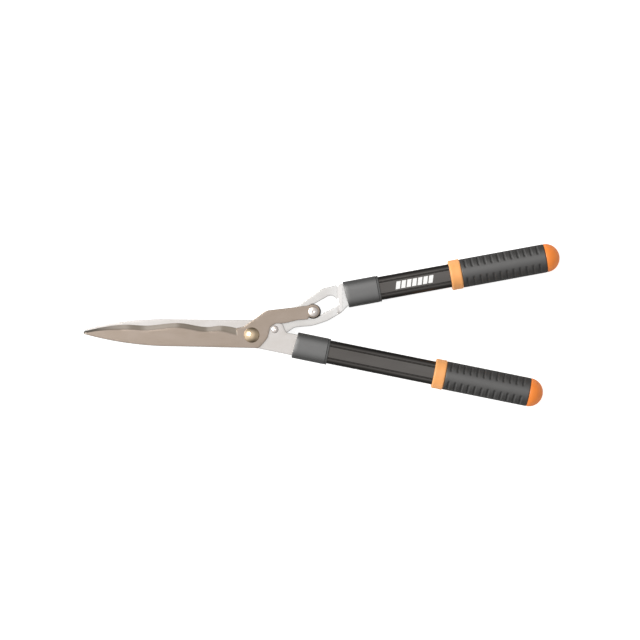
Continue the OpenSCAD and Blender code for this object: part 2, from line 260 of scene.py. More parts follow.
def blade_steel(name, colour, ground, roughness):
    """Satin blade steel: fine lines ground across the plate, and bare ground steel on the bevel."""
    finish = Finish(name, colour, Metallic=1.0)
    grinding = finish.noise(2600, stretch=(1, 0.03, 1), detail=2)
    clouds = finish.noise(45, stretch=(1, 2.2, 1), detail=4)
    finish.blend(finish.attribute("bevel"), ground)
    finish.blend(finish.remap(clouds, 0, 1, 0.35, 0.7), (0.93, 0.92, 0.90), "MULTIPLY")
    finish.blend(finish.remap(grinding, 0, 0.5, 0.3, 0.75), (0.95, 0.95, 0.95), "MULTIPLY")
    # painted shade: darkens the bevel where the wavy edge falls towards the heel
    finish.blend(finish.attribute("shade"), (0.68, 0.66, 0.63), "MULTIPLY")
    # painted shade: a darker, cooler tint over the tip
    finish.blend(finish.attribute("tip"), (0.90, 0.97, 1.0), "MULTIPLY")
    # painted shade: darkens the rounded edges of the plate
    finish.blend(finish.attribute("rim"), (0.60, 0.58, 0.57), "MULTIPLY")
    finish.bump(grinding, 0.00004, 0.25)
    finish.roughen(grinding, roughness - 0.03, roughness + 0.05)
    return finish.done()


def brushed_steel(name, colour, roughness):
    """Bright steel with fine lines and soft clouds, a painted highlight from the jog to the handle, and
    painted shade on the jog.
    """
    finish = Finish(name, colour, Metallic=1.0)
    lines = finish.noise(2400, stretch=(0.03, 1, 1), detail=2)
    finish.mottle(55, (0.93, 0.925, 0.92), detail=4)
    finish.blend(finish.remap(lines, 0, 0.5, 0.3, 0.75), (0.95, 0.95, 0.95), "MULTIPLY")
    # painted highlight: paler steel from the jog to the handle
    finish.blend(finish.attribute("neck_highlight"), (0.95, 0.935, 0.92))
    # painted shade: darker steel on the jog and its creases
    finish.blend(finish.attribute("bend"), (0.85, 0.84, 0.835), "MULTIPLY")
    # painted shade: darkens the rounded edges of the plate
    finish.blend(finish.attribute("rim"), (0.62, 0.60, 0.59), "MULTIPLY")
    finish.bump(lines, 0.00003, 0.25)
    finish.roughen(lines, roughness - 0.03, roughness + 0.05)
    return finish.done()


def turned_metal(name, colour, low, high):
    """Plated metal with a faint cloudiness in its polish and a few tiny pits."""
    finish = Finish(name, colour, Metallic=1.0)
    clouds = finish.noise(260, detail=4)
    pits = finish.noise(2200, detail=1)
    finish.mottle(300, (0.93, 0.91, 0.88), detail=3)
    finish.roughen(clouds, low, high)
    finish.bump(pits, 0.00002, 0.4)
    return finish.done()


def moulded_plastic(name, colour, low, high, grain, depth, **numbers):
    """Moulded plastic: fine grain in the surface and slight unevenness in colour and gloss."""
    finish = Finish(name, colour, **numbers)
    texture = finish.noise(grain, detail=2)
    finish.mottle(70, (0.93, 0.92, 0.92), detail=3)
    finish.roughen(finish.noise(160, detail=3), low, high)
    finish.bump(texture, depth, 0.6)
    return finish


def anodised_tube(name, printed=None):
    """Black anodised tube with drawing lines along it and, where asked, a plain printed mark."""
    finish = Finish(name, (0.155, 0.146, 0.139), Metallic=1.0)
    finish.place = finish.attribute("place", "Vector")
    lines = finish.noise(1500, stretch=(0.01, 1, 1), detail=3)
    finish.mottle(40, (0.84, 0.83, 0.82), stretch=(0.3, 1, 1), detail=3)
    finish.blend(finish.remap(lines, 0, 0.7, 0.3, 0.8), (0.80, 0.79, 0.78), "MULTIPLY")
    finish.bump(lines, 0.00003, 0.6)
    finish.roughen(lines, 0.24, 0.36)
    if printed:
        mark = printed(finish)
        finish.blend(mark, (0.86, 0.86, 0.85))
        bare = finish.combine("SUBTRACT", 1.0, mark)
        finish.feed(finish.shader.inputs["Metallic"], bare)
    return finish.done()


BAR_SHARE = 0.78


def slanted_bars(centre_u, length, height, bars, lean):
    """A plain mark of equal slanted bars on the front of a tube, as a 0 to 1 mask."""

    def mask(finish):
        split = finish.node("SeparateXYZ", Vector=finish.place)
        along, across, front = (split.outputs[axis] for axis in "XYZ")
        leaning = finish.combine("SUBTRACT", along, finish.combine("MULTIPLY", across, lean))
        share = finish.remap(leaning, 0, bars, centre_u - length / 2, centre_u + length / 2)
        inside = finish.combine("LESS_THAN", finish.combine("ABSOLUTE", across), height / 2)
        begun = finish.combine("GREATER_THAN", share, 0.0)
        unended = finish.combine("LESS_THAN", share, bars - 0.001)
        barred = finish.combine("LESS_THAN", finish.combine("FRACT", share), BAR_SHARE)
        faces_front = finish.combine("GREATER_THAN", front, 0.0)
        result = inside
        for other in (begun, unended, barred, faces_front):
            result = finish.combine("MULTIPLY", result, other)
        return result

    return mask


def rubber():
    """Soft moulded rubber: fine matt grain, cloudy patches, uneven gloss and painted shade in the grooves.
    """
    finish = Finish("grip_rubber", (0.024, 0.0225, 0.021), IOR=1.72, Specular_IOR_Level=0.95)
    grain = finish.noise(2300, detail=2)
    finish.mottle(45, (0.82, 0.81, 0.80), detail=4)
    # painted shade: darkens the grooves between the ribs
    finish.blend(finish.attribute("groove"), (0.6, 0.59, 0.58), "MULTIPLY")
    finish.roughen(finish.noise(120, detail=3), 0.46, 0.58)
    finish.bump(grain, 0.00009, 0.6)
    return finish.done()


def orange_plastic(name, colour, low, high):
    return moulded_plastic(name, colour, low, high, 1400, 0.00004).done()


def ferrule_plastic():
    """Dark nylon with a soft sheen, with painted shade and a rougher surface in the groove behind its rear
    rim.
    """
    sheen = {"IOR": 1.75, "Specular_IOR_Level": 0.95}
    finish = moulded_plastic("ferrule_plastic", (0.043, 0.043, 0.042), 0.44, 0.54, 1700, 0.00006, **sheen)
    groove = finish.attribute("groove")
    # painted shade: the groove's floor is darkened
    finish.blend(groove, (0.2, 0.2, 0.2), "MULTIPLY")
    finish.roughen(groove, 0.48, 0.9)
    return finish.done()


def pale_floor():
    finish = Finish("floor", (0.80, 0.80, 0.80), Roughness=0.9, Emission_Strength=0.75)
    finish.shader.inputs["Emission Color"].default_value = (1, 1, 1, 1)
    finish.mottle(3, (0.985, 0.985, 0.985), detail=2)
    return finish.done()


FINISHES = {
    "blade_front": blade_steel("blade_front", (0.485, 0.40, 0.335), (0.66, 0.585, 0.51), 0.22),
    "blade_rear": blade_steel("blade_rear", (0.84, 0.80, 0.775), (0.72, 0.70, 0.67), 0.21),
    "lever_steel": brushed_steel("lever_steel", (0.88, 0.855, 0.83), 0.21),
    "bolt_brass": turned_metal("bolt_brass", (0.98, 0.77, 0.53), 0.10, 0.20),
    "bush_bronze": turned_metal("bush_bronze", (0.60, 0.42, 0.24), 0.30, 0.45),
    "fastener_steel": turned_metal("fastener_steel", (0.82, 0.76, 0.73), 0.30, 0.42),
    "nylon_black": moulded_plastic("nylon_black", (0.022, 0.021, 0.02), 0.38, 0.5, 1500, 0.00003).done(),
    "ferrule_plastic": ferrule_plastic(),
    "tube_anodised": anodised_tube("tube_anodised"),
    "core_nylon": moulded_plastic("core_nylon", (0.75, 0.73, 0.66), 0.4, 0.5, 900, 0.00004).done(),
    "orange_plastic": orange_plastic("orange_plastic", (0.98, 0.275, 0.045), 0.30, 0.42),
    "grip_rubber": rubber(),
}
# painted highlight: the collars get a paler copy of the caps' orange, for the broad highlight on their tops
LIT_COLLAR_FINISH = orange_plastic("orange_collar", (0.92, 0.415, 0.14), 0.35, 0.48)


def finish_of(node):
    """The material of a node's slot."""
    return FINISHES[SLOT_OF[node]]


# ---------------------------------------------------------------------------
# Mesh building
# ---------------------------------------------------------------------------


def make_piece(node, vertices, faces, attributes=None, sharp=35, home=Matrix.Identity(4), finish=None):
    """A new piece that stands for a CAD node, on the same body.

    It has the slot's finish unless another is given, and is smooth but for corners over `sharp`
    degrees. The vertices are given in the home frame, and keep their place in it as "place".
    """
    mesh = bpy.data.meshes.new(node + ".detailed")
    mesh.from_pydata([home @ Vector(v) for v in vertices], [], faces)
    mesh.validate()
    mesh.shade_smooth()
    mesh.set_sharp_from_angle(angle=math.radians(sharp))
    place = mesh.attributes.new("place", "FLOAT_VECTOR", "POINT")
    place.data.foreach_set("vector", [n for vertex in vertices for n in vertex])
    for name, values in (attributes or {}).items():
        layer = mesh.attributes.new(name, "FLOAT", "POINT")
        layer.data.foreach_set("value", values)
    mesh.materials.append(finish or finish_of(node))
    piece = bpy.data.objects.new(node + ".detailed", mesh)
    bpy.context.scene.collection.objects.link(piece)
    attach(piece, BODY_OF[node])
    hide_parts(node)


TURNED_SEGMENTS = 96


def fillet(corners, steps):
    """A closed outline through corners (x, y, radius), each rounded by an arc of its radius."""
    points = []
    for i, (x, y, radius) in enumerate(corners):
        here = Vector((x, y))
        if radius == 0:
            points.append(here)
            continue
        back = (Vector(corners[i - 1][:2]) - here).normalized()
        ahead = (Vector(corners[(i + 1) % len(corners)][:2]) - here).normalized()
        half = back.angle(ahead) / 2
        centre = here + (back + ahead).normalized() * radius / math.sin(half)
        start = here + back * radius / math.tan(half) - centre
        turn = math.copysign(math.pi - 2 * half, ahead.cross(back))
        for k in range(steps + 1):
            points.append(centre + Matrix.Rotation(turn * k / steps, 2) @ start)
    return points


def bridge(first, second):
    """Quads between two rings of vertex numbers of the same length."""
    n = len(first)
    return [(first[i], first[(i + 1) % n], second[(i + 1) % n], second[i]) for i in range(n)]


def revolved(profile, centre):
    """Vertices and faces of a closed (radius, height) profile turned about the Z axis through centre."""
    segments = TURNED_SEGMENTS
    vertices, rings = [], []
    for radius, height in profile:
        start = len(vertices)
        if radius < 1e-7:
            vertices.append((centre.x, centre.y, height))
            rings.append([start])
            continue
        for k in range(segments):
            angle = 2 * math.pi * k / segments
            x = centre.x + radius * math.cos(angle)
            y = centre.y + radius * math.sin(angle)
            vertices.append((x, y, height))
        rings.append(list(range(start, start + segments)))
    faces = []
    for one, two in zip(rings, rings[1:] + rings[:1]):
        if len(one) > 1 and len(two) > 1:
            faces += bridge(one, two)
        elif len(one) > 1:
            faces += [(one[k], one[(k + 1) % segments], two[0]) for k in range(segments)]
        elif len(two) > 1:
            faces += [(one[0], two[(k + 1) % segments], two[k]) for k in range(segments)]
    return vertices, faces


def lofted(sections, closed=False):
    """Vertices and faces through sections, which are rings of points. Open lofts get end faces."""
    n = len(sections[0])
    vertices = [point for section in sections for point in section]
    rings = [list(range(k * n, (k + 1) * n)) for k in range(len(sections))]
    faces = []
    for one, two in zip(rings, rings[1:] + (rings[:1] if closed else [])):
        faces += bridge(one, two)
    if not closed:
        faces.append(tuple(reversed(rings[0])))
        faces.append(tuple(rings[-1]))
    return vertices, faces


# ---------------------------------------------------------------------------
# Plates: the blades and the lever
# ---------------------------------------------------------------------------

ROUNDING_STEPS = 3
OUTLINE_STEP = 1.2 * MM
PLATE_SPACING = 3.0 * MM
BORDER_GAP = PLATE_SPACING * 0.25
CORNER_TURN = math.radians(13)
LONG_SIDE = 16 * MM


def border_loops(node, facing, turned):
    """A plate's closed XY outlines: the borders of its faces that look along facing * Z."""
    mesh = NODES[node].data
    keys = [(round(v.co.x, 6), round(v.co.y, 6)) for v in mesh.vertices]
    edges = set()
    for polygon in mesh.polygons:
        if polygon.normal.z * facing < 0.2:
            continue
        corners = [keys[i] for i in polygon.vertices]
        for a, b in zip(corners, corners[1:] + corners[:1]):
            if (b, a) in edges:
                edges.remove((b, a))
            elif a != b:
                edges.add((a, b))
    following = dict(edges)
    loops = []
    while following:
        start, here = following.popitem()
        loop = [start]
        while here != start:
            loop.append(here)
            here = following.pop(here)
        loops.append([(turned @ Vector((*p, 0))).to_2d() for p in loop])
    loops.sort(key=lambda loop: -abs(signed_area(loop)))
    return [loop if (signed_area(loop) > 0) == (i == 0) else loop[::-1] for i, loop in enumerate(loops)]


def signed_area(loop):
    """A closed outline's area, positive if it runs counterclockwise."""
    return sum(a.cross(b) for a, b in zip(loop, loop[1:] + loop[:1])) / 2


def smooth_loop(loop, step):
    """The loop with a point every step or so: gentle bends become curves, corners and long sides stay."""
    n = len(loop)
    sides = [loop[(i + 1) % n] - loop[i] for i in range(n)]

    def tangent(i, side):
        before, after = sides[i - 1], sides[i]
        if before.angle(after) > CORNER_TURN:
            return side.normalized()
        if max(before.length, after.length) > LONG_SIDE:
            return (before if before.length > after.length else after).normalized()
        return (before.normalized() * after.length + after.normalized() * before.length).normalized()

    points = []
    for i, side in enumerate(sides):
        length = side.length
        first, last = tangent(i, side) * length, tangent((i + 1) % n, side) * length
        pieces = max(1, round(length / step))
        for k in range(pieces):
            t = k / pieces
            a = 2 * t**3 - 3 * t**2 + 1
            b = t**3 - 2 * t**2 + t
            c = t**3 - t**2
            points.append(loop[i] * a + first * b + loop[(i + 1) % n] * (1 - a) + last * c)
    return points


def inward_normals(loop):
    """Unit normals into the plate, lengthened at corners so that an offset keeps its distance."""
    normals = []
    for i, here in enumerate(loop):
        before = (here - loop[i - 1]).normalized()
        after = (loop[(i + 1) % len(loop)] - here).normalized()
        way = before + after
        normal = Vector((-way.y, way.x)).normalized()
        normals.append(normal / max(0.5, normal.dot(Vector((-after.y, after.x)))))
    return normals


def inside_loop(points, loop):
    """For each point, whether it lies inside the loop."""
    edge = np.array([tuple(p) for p in loop])
    ahead = np.roll(edge, -1, axis=0)
    x, y = points[:, :1], points[:, 1:]
    crosses = (edge[:, 1] > y) != (ahead[:, 1] > y)
    rise = np.where(ahead[:, 1] == edge[:, 1], 1.0, ahead[:, 1] - edge[:, 1])
    where = edge[:, 0] + (y - edge[:, 1]) / rise * (ahead[:, 0] - edge[:, 0])
    return (crosses & (x < where)).sum(axis=1) % 2 == 1


def distance_to_loop(points, loop):
    """For each point, how far it is from the nearest point of the loop."""
    edge = np.array([tuple(p) for p in loop])
    gaps = points[:, None, :] - edge[None, :, :]
    return np.sqrt((gaps**2).sum(axis=2)).min(axis=1)


def well_inside(points, loops, gap):
    """For each point, whether it is inside loops[0] and outside the other loops, and over gap from them."""
    keep = inside_loop(points, loops[0])
    for hole in loops[1:]:
        keep &= ~inside_loop(points, hole)
    for loop in loops:
        keep &= distance_to_loop(points, loop) > gap
    return keep


def plate(loops, low, high, radius, lines, extra=()):
    """Vertices, faces and rim shares of a plate between the surfaces low(p) and high(p).

    loops[0] is the outline and the rest are holes. Their edges are rounded by radius(p), and the
    rim share falls from 1 at the side to 0 on the flat. Lines are open polylines that the faces
    keep to, and extra points make the faces finer.
    """
    vertices, faces, rim = [], [], []
    inner_rings = []
    angles = [math.pi / 2 * k / ROUNDING_STEPS for k in range(ROUNDING_STEPS + 1)]
    for loop in loops:
        normals = inward_normals(loop)
        rings = []
        for side, surface in ((1, high), (-1, low)):
            for k, angle in enumerate(angles):
                start = len(vertices)
                for p, normal in zip(loop, normals):
                    r = radius(p)
                    q = p + normal * r * (1 - math.cos(angle))
                    vertices.append((q.x, q.y, surface(p) - side * r * (1 - math.sin(angle))))
                    rim.append(1 - k / ROUNDING_STEPS)
                rings.append(list(range(start, len(vertices))))
        tops, bottoms = rings[: len(angles)], rings[len(angles) :]
        for one, two in zip(tops, tops[1:]):
            faces += bridge(one, two)
        for one, two in zip(bottoms, bottoms[1:]):
            faces += bridge(two, one)
        faces += bridge(bottoms[0], tops[0])
        inner_rings.append((tops[-1], bottoms[-1]))
    flat, owners, edges = [], [], []
    for top, bottom in inner_rings:
        start = len(flat)
        flat += [Vector(vertices[i][:2]) for i in top]
        owners += list(zip(top, bottom))
        edges += [(start + k, start + (k + 1) % len(top)) for k in range(len(top))]
    for line in lines:
        start = len(flat)
        flat += [Vector(p) for p in line]
        edges += [(start + k, start + k + 1) for k in range(len(line) - 1)]
    borders = [[Vector(vertices[i][:2]) for i in top] for top, _ in inner_rings]
    fill = np.array([tuple(p) for p in [*grid_points(borders[0]), *extra]])
    flat += [Vector(p) for p in fill[well_inside(fill, borders, BORDER_GAP)]]
    made, _, triangles, origins, _, _ = delaunay_2d_cdt(flat, edges, [], 0, 1e-7)
    numbers = []
    for p, origin in zip(made, origins):
        owned = [k for k in origin if k < len(owners)]
        if owned:
            numbers.append(owners[owned[0]])
            continue
        numbers.append((len(vertices), len(vertices) + 1))
        vertices += [(p.x, p.y, high(p)), (p.x, p.y, low(p))]
        rim += [0.0, 0.0]
    middles = np.array([tuple(sum((made[k] for k in t), Vector((0, 0))) / 3) for t in triangles])
    for triangle, kept in zip(triangles, well_inside(middles, borders, 0.0)):
        if kept:
            faces.append(tuple(numbers[k][0] for k in triangle))
            faces.append(tuple(numbers[k][1] for k in reversed(triangle)))
    return vertices, faces, rim


def grid_points(border):
    """Points in rows over a border's box, every other row shifted by half a step."""
    low = Vector((min(p.x for p in border), min(p.y for p in border)))
    high = Vector((max(p.x for p in border), max(p.y for p in border)))
    points = []
    row = 0
    y = low.y + PLATE_SPACING / 2
    while y < high.y:
        x = low.x + PLATE_SPACING * (0.5 + row % 2 / 2)
        while x < high.x:
            points.append((x, y))
            x += PLATE_SPACING
        y += PLATE_SPACING * 0.87
        row += 1
    return points


def sloped_span(node):
    """The X range of a plate's slanted faces: the lever's jog, or a blade's ground bevel."""
    mesh = NODES[node].data
    places = [
        mesh.vertices[i].co.x
        for polygon in mesh.polygons
        if 0.3 < abs(polygon.normal.z) < 0.99
        for i in polygon.vertices
    ]
    return min(places), max(places)


# The blades' bevels. EDGE_LAND is the plate's thickness that is left at the cutting edge.
EDGE_LAND = 0.9 * MM
BEVEL_WIDTH = 6.6 * MM
HEEL_BEVEL_WIDTH = 9.4 * MM
TIP_BEVEL_WIDTH = 2.6 * MM
HEEL_BLEND = 30 * MM
TIP_BLEND = 55 * MM
HEEL_STEP = 1.3 * MM
NOSE_LENGTH = 1.5 * MM
INNER_LINE_START = 4 * MM
BEVEL_ROWS = (0.2, 0.4, 0.6, 0.8)
BLADE_ROUNDING = 0.5 * MM
BACK_FACE = 0.3 * MM
# Length of the painted shade at the blade tip
TIP_SHADE_LENGTH = 7 * MM


def smoothstep(t):
    """An even rise from 0 to 1 as t goes from 0 to 1, level at both ends."""
    t = min(1.0, max(0.0, t))
    return t * t * (3 - 2 * t)


def ground_blade(node, plain_side):
    """A blade plate with a bevel that follows its wavy edge and ends in a step at the heel.

    It is built as if the bevel were on top and the cutting edge towards +Y. The rear blade is
    that shape turned half over about X.
    """
    turned = Matrix.Identity(4) if plain_side < 0 else Matrix.Rotation(math.pi, 4, "X")
    corners = [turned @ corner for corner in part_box(node)]
    bottom, top = sorted(corner.z for corner in corners)
    tip_x = min(corner.x for corner in corners)
    heel_x = sloped_span(node)[1]
    loops = [smooth_loop(loop, OUTLINE_STEP) for loop in border_loops(node, plain_side, turned)]
    outline = loops[0]
    heel = min(range(len(outline)), key=lambda i: abs(outline[i].x - heel_x) - outline[i].y)
    after = outline[heel - 1]
    outline.insert(heel, outline[heel] + (after - outline[heel]).normalized() * HEEL_STEP)
    heel += 1
    edge = [outline[heel]]
    while edge[-1].x > tip_x + NOSE_LENGTH:
        edge.append(outline[(heel + len(edge)) % len(outline)])
    edge_x = np.array([p.x for p in edge[::-1]])
    edge_y = np.array([p.y for p in edge[::-1]])
    drop = top - bottom - EDGE_LAND

    def width(x):
        """The bevel's width, which grows at the heel and shrinks towards the tip."""
        from_heel = smoothstep((heel_x - x) / HEEL_BLEND)
        to_tip = smoothstep((tip_x + TIP_BLEND - x) / TIP_BLEND)
        wide = HEEL_BEVEL_WIDTH + (BEVEL_WIDTH - HEEL_BEVEL_WIDTH) * from_heel
        return wide + (TIP_BEVEL_WIDTH - wide) * to_tip

    def share_of_bevel(p):
        """How far p lies up the bevel: 1 at the cutting edge, 0 at its inner line and beyond."""
        if p.x > heel_x + HEEL_STEP / 2:
            return 0.0
        gap = float(np.interp(p.x, edge_x, edge_y)) - p.y
        return min(1.0, max(0.0, 1 - gap / width(p.x)))

    def high(p):
        return top - drop * share_of_bevel(p)

    def low(p):
        return bottom

    def radius(p):
        return BLADE_ROUNDING * (high(p) - bottom) / (top - bottom)

    line_start = tip_x + INNER_LINE_START
    inner_line = [Vector((x, y - width(x))) for x, y in zip(edge_x, edge_y) if x > line_start]
    inner_line[-1].x = heel_x
    bevel_points = [(x, y - width(x) * share) for x, y in zip(edge_x, edge_y) for share in BEVEL_ROWS]
    step_lines = [
        [(heel_x + shift, inner_line[-1].y), (heel_x + shift, edge_y[-1] - BLADE_ROUNDING)]
        for shift in (0, HEEL_STEP)
    ]
    vertices, faces, rim = plate(loops, low, high, radius, [inner_line, *step_lines], bevel_points)

    slopes = np.gradient(edge_y, edge_x)

    def falling(p):
        """1 where the wavy edge falls steeply towards the heel, 0 where it is level or rises."""
        slope = float(np.interp(p.x, edge_x, slopes))
        return smoothstep((0.03 - slope) / 0.11)

    bevel, shade, tip = [], [], []
    for x, y, z in vertices:
        here = Vector((x, y))
        share = share_of_bevel(here) if z > bottom + BACK_FACE else 0.0
        before_heel = smoothstep((heel_x - x) / HEEL_STEP)
        bevel.append(smoothstep(share / 0.45))
        # painted shade on the bevel where the edge falls, faded out just before the heel
        shade.append(smoothstep(share / 0.25) * falling(here) * before_heel)
        # painted shade at the tip, fading out over its last few millimetres
        tip.append(smoothstep((tip_x + TIP_SHADE_LENGTH - x) / TIP_SHADE_LENGTH))
    attributes = {"rim": rim, "bevel": bevel, "shade": shade, "tip": tip}
    vertices = [turned @ Vector(vertex) for vertex in vertices]
    make_piece(node, vertices, faces, attributes, sharp=20)


LEVER_ROUNDING = 0.7 * MM
LEVER_THICKNESS = 4 * MM
CREASE_STEP = 1 * MM
CREASE_MARGIN = 1.4 * MM
CREASE_HALF = 0.1 * MM
# Length over which the painted highlight on the lever fades out before the jog
NECK_HIGHLIGHT_FADE = 14 * MM


def crease_lines(loops, x):
    """The stretches of the straight line at x that lie well inside a plate's outline and off its holes."""
    sides = [p.y for p in loops[0]]
    points = np.array([(x, y) for y in np.arange(min(sides), max(sides), CREASE_STEP)])
    stretches = [[]]
    for point, kept in zip(points, well_inside(points, loops, CREASE_MARGIN)):
        if kept:
            stretches[-1].append(tuple(point))
        elif stretches[-1]:
            stretches.append([])
    return [stretch for stretch in stretches if len(stretch) > 1]


def lever_plate(node):
    """The lever: a thick stamped plate that jogs forward before the handle, between two creases."""
    low_corner, high_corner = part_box(node)
    start, end = sloped_span(node)
    step = high_corner.z - low_corner.z - LEVER_THICKNESS
    loops = [smooth_loop(loop, OUTLINE_STEP) for loop in border_loops(node, -1, Matrix.Identity(4))]

    def low(p):
        return low_corner.z + step * min(1.0, max(0.0, (p.x - start) / (end - start)))

    def high(p):
        return low(p) + LEVER_THICKNESS

    def radius(p):
        return LEVER_ROUNDING

    def neck_highlight(x):
        """Where the painted highlight lies: 1 from the jog to the handle, fading to 0 over a stretch of the
        ring before the jog.
        """
        return smoothstep(1 + (x - start) / NECK_HIGHLIGHT_FADE)

    def bend(x):
        """Where the painted shade lies: 1 on the jog and its creases, 0 on the flats."""
        return float(start - CREASE_HALF < x < end + CREASE_HALF)

    creases = crease_lines(loops, start) + crease_lines(loops, end)
    vertices, faces, rim = plate(loops, low, high, radius, creases)
    attributes = {
        "rim": rim,
        "neck_highlight": [neck_highlight(vertex[0]) for vertex in vertices],
        "bend": [bend(vertex[0]) for vertex in vertices],
    }
    make_piece(node, vertices, faces, attributes, sharp=20)


# ---------------------------------------------------------------------------
# Handles: ferrules, tubes, collars, grips and caps
# ---------------------------------------------------------------------------


# How far a round detailed piece stays inside its CAD piece
SKIN = 0.1 * MM


def handle_frame(mount):
    """A handle's own frame: origin at the middle of its grip, X along it to the end, Z to the front."""
    along = Vector(mount["axis"]).normalized()
    across = Vector((0, 0, 1)).cross(along)
    turn = Matrix((along, across, (0, 0, 1))).transposed().to_4x4()
    return Matrix.Translation(mount["pos_m"]) @ turn


def local_box(node, handle):
    """A node's lowest and highest corner in a handle's own frame."""
    back = handle.inverted()
    points = np.array([tuple(back @ v.co) for v in NODES[node].data.vertices])
    return Vector(points.min(axis=0)), Vector(points.max(axis=0))


def local_size(part, node, handle):
    """The size of the part of this kind on the same handle, in the handle's own frame."""
    low, high = local_box(node.split("_")[0] + "_" + part, handle)
    return high - low


CROWN = 3.0
SECTION_STEPS = 96


def crowned_section(width, depth):
    """A section like a well rounded, crowned rectangle, as (y, z) points."""
    points = []
    for k in range(SECTION_STEPS):
        angle = 2 * math.pi * k / SECTION_STEPS
        y, z = math.cos(angle), math.sin(angle)
        reach = (abs(y) ** CROWN + abs(z) ** CROWN) ** (-1 / CROWN)
        points.append((width / 2 * reach * y, depth / 2 * reach * z))
    return points


def section_at(u, outline):
    """An outline's (y, z) points as a section at u along a handle."""
    return [(u, p[0], p[1]) for p in outline]


def circle_at(u, radius, segments):
    """A round section at u along a handle."""
    angles = [2 * math.pi * k / segments for k in range(segments)]
    return [(u, radius * math.cos(a), radius * math.sin(a)) for a in angles]


FERRULE_SLANT = math.tan(math.radians(4.5))
SLANT_REACH = 12 * MM
FERRULE_SPANS = 8

# The ferrule's ends in mm, as (distance from that end along the handle, depth below its side)
FERRULE_FRONT = [(0.9, 3.2), (0.9, 2.4), (0.25, 1.9), (0, 1.35), (0.18, 0.62), (0.62, 0.18), (1.3, 0)]
FERRULE_GROOVE = [(-2.9, 0), (-2.6, 0.45), (-1.9, 0.45), (-1.6, 0)]
FERRULE_RIM = [(-0.4, 0), (0, 0.35), (0, 0.7), (-0.8, 0.8), (-1.6, 1.4)]


def ferrule(node, handle, side):
    """A socket over the tube's end, with a slanted rounded front and a groove and a rim at the rear."""
    low, high = local_box(node, handle)
    width, depth = high.y - low.y, high.z - low.z
    start = low.x + width / 2 * FERRULE_SLANT
    end = high.x
    stations = [(start + u * MM, inset * MM) for u, inset in FERRULE_FRONT]
    stations += [(start + (end - start) * k / FERRULE_SPANS, 0) for k in range(1, FERRULE_SPANS)]
    groove_floor = (len(stations) + 1, len(stations) + 2)
    stations += [(end + u * MM, inset * MM) for u, inset in FERRULE_GROOVE + FERRULE_RIM]
    sections, shaded_and_dull = [], []
    for k, (u, inset) in enumerate(stations):
        lean = side * FERRULE_SLANT * max(0.0, 1 - (u - start) / SLANT_REACH)
        outline = crowned_section(width - 2 * inset, depth - 2 * inset)
        sections.append([(u - lean * y, y, z) for y, z in outline])
        # 1 on the groove's floor: where the painted shade and the higher roughness go
        shaded_and_dull += [float(k in groove_floor)] * len(outline)
    vertices, faces = lofted(sections)
    make_piece(node, vertices, faces, {"groove": shaded_and_dull}, sharp=50, home=handle)


GROOVE_AT = 7.4 * MM
GROOVE_HALF = 0.85 * MM
GROOVE_DEPTH = 1.5 * MM
TUBE_CORNER = 7 * MM
TUBE_WALL = 1.6 * MM
TUBE_SPANS = 12


def tube_outline(width, depth):
    """Across the tube: a flat panel front and back between two grooves, with rounded sides."""
    half_w, half_d = width / 2, depth / 2
    lip = GROOVE_AT + GROOVE_HALF
    centre_y, centre_z = half_w - TUBE_CORNER, half_d - TUBE_CORNER
    sweep = math.acos((lip - centre_y) / TUBE_CORNER)
    turns = [sweep * k / 9 for k in range(10)]
    quarter = [
        (centre_y + TUBE_CORNER * math.cos(a), centre_z + TUBE_CORNER * math.sin(a), 0) for a in turns
    ]
    quarter += [
        (GROOVE_AT + GROOVE_HALF * 0.25, half_d - GROOVE_DEPTH, 0.1 * MM),
        (GROOVE_AT - GROOVE_HALF * 0.25, half_d - GROOVE_DEPTH, 0.1 * MM),
        (GROOVE_AT - GROOVE_HALF, half_d, 0.3 * MM),
    ]
    half = quarter + [(-y, z, r) for y, z, r in quarter[::-1]]
    return fillet(half + [(-y, -z, r) for y, z, r in half], 5)


def tube(node, handle, finish):
    """A grooved tube, open at both ends."""
    low, high = local_box(node, handle)
    outer = tube_outline(high.y - low.y, high.z - low.z)
    shrink = 1 - 2 * TUBE_WALL / (high.z - low.z)
    inner = [p * shrink for p in outer]
    stations = [low.x + (high.x - low.x) * k / TUBE_SPANS for k in range(TUBE_SPANS + 1)]
    sections = [section_at(u, outer) for u in stations]
    sections += [section_at(u, inner) for u in stations[::-1]]
    vertices, faces = lofted(sections, closed=True)
    make_piece(node, vertices, faces, sharp=30, home=handle, finish=finish)


COLLAR_EDGE = 1.9 * MM
COLLAR_WALL_GAP = 0.1 * MM
COLLAR_WAIST = 0.25 * MM
COLLAR_SEGMENTS = 128


def collar(node, handle):
    """A ring with generous rounded edges and a very shallow waist."""
    low, high = local_box(node, handle)
    radius = (high.z - low.z) / 2 - SKIN
    inner = local_size("tube", node, handle).z / 2 - COLLAR_WALL_GAP
    middle = (low.x + high.x) / 2
    profile = fillet(
        [
            (low.x, inner, 0),
            (low.x, radius, COLLAR_EDGE),
            (middle, radius - COLLAR_WAIST, 30 * MM),
            (high.x, radius, COLLAR_EDGE),
            (high.x, inner, 0),
        ],
        8,
    )
    vertices, faces = lofted([circle_at(u, r, COLLAR_SEGMENTS) for u, r in profile], closed=True)
    # the collar takes the paler orange with the painted highlight
    make_piece(node, vertices, faces, sharp=50, home=handle, finish=LIT_COLLAR_FINISH)


RIB_PITCH = 8.1 * MM
RIB_COUNT = 12
RIB_START = 5.7 * MM
RIB_HALF = 2.1 * MM
RIB_DEPTH = 1.3 * MM
PANEL_ANGLE = math.radians(17)
SIDE_ANGLE = math.radians(64)
PANEL_FADE = math.radians(13)
GRIP_EDGE = 1.0 * MM
GRIP_STEP = 0.5 * MM
GRIP_SEGMENTS = 144


